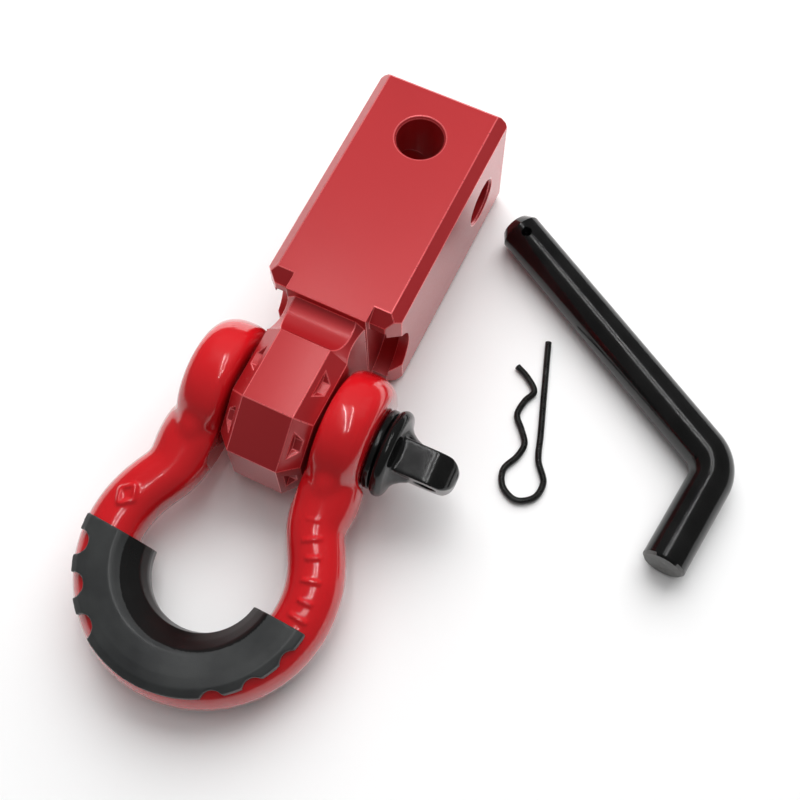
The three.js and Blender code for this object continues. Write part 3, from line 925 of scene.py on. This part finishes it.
def hitch_pin():
    to_tip, to_end = heading(LONG_HEADING), heading(SHORT_HEADING)
    bend = math.pi - to_tip.angle(to_end)
    tangent = BEND_RADIUS * math.tan(bend / 2)

    def at(direction, distance, radius):
        point = BAR_BEND + direction * distance
        return (point.x, point.y, BAR_PIN, radius)

    stations = [at(to_tip, LONG_LEG, 0), at(to_tip, LONG_LEG, BAR_RADIUS - TIP_DEPTH - 0.3),
                at(to_tip, LONG_LEG - 0.2, BAR_RADIUS - TIP_DEPTH),
                at(to_tip, LONG_LEG - TIP_BEVEL, BAR_RADIUS)]
    for i in range(1, 12):
        along = LONG_LEG - TIP_BEVEL - (LONG_LEG - TIP_BEVEL - tangent) * i / 12
        stations.append(at(to_tip, along, BAR_RADIUS))
    handle = 4 / 3 * math.tan(bend / 4) * BEND_RADIUS
    corners = [at(to_tip, tangent, 0), at(to_tip, tangent - handle, 0),
               at(to_end, tangent - handle, 0), at(to_end, tangent, 0)]
    stations.append(at(to_tip, tangent, BAR_RADIUS))
    for x, y in bezier(*corners, 24):
        stations.append((x, y, BAR_PIN, BAR_RADIUS))
    for t in (0.25, 0.5, 0.75):
        along = tangent + (SHORT_LEG - END_BEVEL - tangent) * t
        stations.append(at(to_end, along, BAR_RADIUS))
    stations += [at(to_end, SHORT_LEG - END_BEVEL, BAR_RADIUS),
                 at(to_end, SHORT_LEG - 0.02, BAR_RADIUS - END_BEVEL),
                 at(to_end, SHORT_LEG, END_RIM),
                 at(to_end, SHORT_LEG - DIMPLE_DEPTH, DIMPLE_RADIUS),
                 at(to_end, SHORT_LEG - END_BEVEL, 0)]
    bar = swept("hitch_pin_body", stations, 96)
    hole = BAR_BEND + to_tip * (LONG_LEG - CROSS_FROM_TIP)
    drill = cylinder_x("drill", CROSS_HOLE, -20, 20, 40)
    upright = Matrix.Rotation(-math.pi / 2, 4, "Y")
    lean = Matrix.Rotation(CROSS_LEAN, 4, "X")
    transform(drill, Matrix.Translation((hole.x, hole.y, BAR_PIN))
              @ Matrix.Rotation(LONG_HEADING - math.pi, 4, "Z") @ lean @ upright)
    boolean(bar, drill)
    shade(bar, 30.0)
    bar.data.materials.append(BLACK)
    bar.data.materials.append(END_GREY)
    for polygon in bar.data.polygons:
        reach = (polygon.center.xy - BAR_BEND).dot(to_end)
        on_end = reach > SHORT_LEG - DIMPLE_DEPTH and abs(polygon.normal.z) < 0.6
        polygon.material_index = 1 if on_end else 0
    return finish_piece(bar, bench_matrix(), "loose_hitch_pin", "hitch_pin",
                        [BLACK, END_GREY])


CLIP_WIRE = 1.2
CLIP_BEVEL = 0.25
CLIP_BEVEL_LENGTH = 0.2
CLIP_ROUTE = [
    (68.1, -51.4), (74.4, -70), (80.2, -87), (83.4, -96.5), (88.3, -103.5), (87.6, -110),
    (82, -113.7), (75.8, -111), (73.4, -105), (75.9, -98.2), (76.3, -92.8), (73, -88),
    (69.4, -83.6), (69.7, -77.2), (71.3, -72.4), (67.1, -68.3), (61.6, -65.5),
]


def centripetal(route, per_span):
    """A centripetal Catmull-Rom curve through the route."""
    points = [Vector(p) for p in route]
    points = [2 * points[0] - points[1]] + points + [2 * points[-1] - points[-2]]
    line = []
    for i in range(1, len(points) - 2):
        p0, p1, p2, p3 = points[i - 1:i + 3]
        d0, d1, d2 = (math.sqrt((b - a).length) for a, b in ((p0, p1), (p1, p2), (p2, p3)))
        t1 = ((p1 - p0) / d0 - (p2 - p0) / (d0 + d1) + (p2 - p1) / d1) * d1
        t2 = ((p2 - p1) / d1 - (p3 - p1) / (d1 + d2) + (p3 - p2) / d2) * d1
        for k in range(per_span):
            t = k / per_span
            line.append(p1 * (2 * t ** 3 - 3 * t * t + 1) + t1 * (t ** 3 - 2 * t * t + t)
                        + p2 * (3 * t * t - 2 * t ** 3) + t2 * (t ** 3 - t * t))
    line.append(points[-2])
    return line


def hitch_pin_clip():
    line = centripetal(CLIP_ROUTE, 14)
    first = (line[0] - line[1]).normalized()
    last = (line[-1] - line[-2]).normalized()
    stations = [(*line[0], CLIP_WIRE, 0), (*line[0], CLIP_WIRE, CLIP_WIRE - CLIP_BEVEL),
                (*(line[0] - first * CLIP_BEVEL_LENGTH), CLIP_WIRE, CLIP_WIRE)]
    stations += [(*p, CLIP_WIRE, CLIP_WIRE) for p in line[1:-1]]
    stations += [(*(line[-1] - last * CLIP_BEVEL_LENGTH), CLIP_WIRE, CLIP_WIRE),
                 (*line[-1], CLIP_WIRE, CLIP_WIRE - CLIP_BEVEL), (*line[-1], CLIP_WIRE, 0)]
    wire = swept("hitch_pin_clip_body", stations, 24)
    shade(wire, 40.0)
    return finish_piece(wire, bench_matrix(), "loose_clip", "hitch_pin_clip", [WIRE])


receiver_block()
shackle_bow()
shackle_pin()
pin_washer()
bow_isolator()
hitch_pin()
hitch_pin_clip()


# ---- Floor, light and camera --------------------------------------------------------------------
FLOOR_HALF = 1.15                   # metres
FLOOR_DROP = 0.0001
CAMERA_PLACE = Vector((110.014, -260.005, 428.137))     # bench frame, millimetres
CAMERA_YAW, CAMERA_PITCH, CAMERA_ROLL = -0.46421834, 1.16646087, -0.01584591
FOCAL_PIXELS, PICTURE_PIXELS = 1264.363, 800
SENSOR = 36.0
TO_MIDDLE = 0.46
TUBE_APART = 0.12
TUBE_HEIGHT = 1.3
SURROUND_LIGHT, SURROUND_SEEN = 0.12, 0.80


def floor():
    bm = bmesh.new()
    signs = ((-1, -1), (1, -1), (1, 1), (-1, 1))
    bm.faces.new([bm.verts.new((x * FLOOR_HALF, y * FLOOR_HALF, 0)) for x, y in signs])
    obj = new_object("floor", bm)
    n = Nodes("floor")
    n.link(n.ramp(n.noise(3.0, 2.0), [(0.3, (0.90, 0.90, 0.90)), (0.7, (0.93, 0.93, 0.93))]),
           n.shader.inputs["Base Color"])
    n.set(Roughness=0.9)
    obj.data.materials.append(n.material)
    obj.location.z = -FLOOR_DROP


def area_light(name, position, target, size, power):
    data = bpy.data.lights.new(name, "AREA")
    data.shape = "RECTANGLE"
    data.size, data.size_y = size
    data.energy = power
    obj = bpy.data.objects.new(name, data)
    obj.location = position
    obj.rotation_mode = "QUATERNION"
    obj.rotation_quaternion = (Vector(target) - Vector(position)).to_track_quat("-Z", "Y")
    bpy.context.scene.collection.objects.link(obj)
    return obj


def camera():
    yaw, pitch, roll = CAMERA_YAW, CAMERA_PITCH, CAMERA_ROLL
    forward = Vector((math.sin(yaw) * math.cos(pitch), math.cos(yaw) * math.cos(pitch),
                      -math.sin(pitch)))
    right = Vector((math.cos(yaw), -math.sin(yaw), 0))
    up = right.cross(forward)
    right, up = (math.cos(roll) * right + math.sin(roll) * up,
                 -math.sin(roll) * right + math.cos(roll) * up)
    data = bpy.data.cameras.new("camera")
    data.sensor_width = SENSOR
    data.lens = SENSOR * FOCAL_PIXELS / PICTURE_PIXELS
    data.clip_start, data.clip_end = 0.01, 20
    obj = bpy.data.objects.new("camera", data)
    place = (BENCH + CAMERA_PLACE) * MM
    columns = Matrix((right, up, -forward)).transposed().to_4x4()
    obj.matrix_world = Matrix.Translation(place) @ columns
    bpy.context.scene.collection.objects.link(obj)
    bpy.context.scene.camera = obj
    return place, forward, right


floor()
eye, forward, right = camera()
middle = eye + forward * TO_MIDDLE
key = area_light("key", middle + Vector((-0.22, 0.98, 1.12)), middle, (2.0, 1.6), 32.0)
key.visible_glossy = False
ahead = Vector((forward.x, forward.y, 0)).normalized()
for offset in (-TUBE_APART, TUBE_APART):
    spot = middle + ahead * 0.15 + right * offset + Vector((0, 0, TUBE_HEIGHT))
    tube = area_light("tube", spot, spot - Vector((0, 0, 1)), (0.012, 1.1), 1.9)
    turn = Matrix((right, ahead, right.cross(ahead))).transposed()
    tube.rotation_quaternion = turn.to_quaternion()
ceiling = area_light("ceiling", middle + Vector((0, 0, 3)), middle, (7.0, 7.0), 40.0)
ceiling.visible_glossy = False

world = bpy.data.worlds.new("studio")
world.use_nodes = True
background = world.node_tree.nodes["Background"]
background.inputs["Color"].default_value = (1, 1, 1, 1)
ray = world.node_tree.nodes.new("ShaderNodeLightPath")
strength = world.node_tree.nodes.new("ShaderNodeMapRange")
strength.inputs["To Min"].default_value = SURROUND_LIGHT
strength.inputs["To Max"].default_value = SURROUND_SEEN
world.node_tree.links.new(ray.outputs["Is Camera Ray"], strength.inputs["Value"])
world.node_tree.links.new(strength.outputs["Result"], background.inputs["Strength"])
bpy.context.scene.world = world
bpy.context.scene.view_settings.view_transform = "Standard"
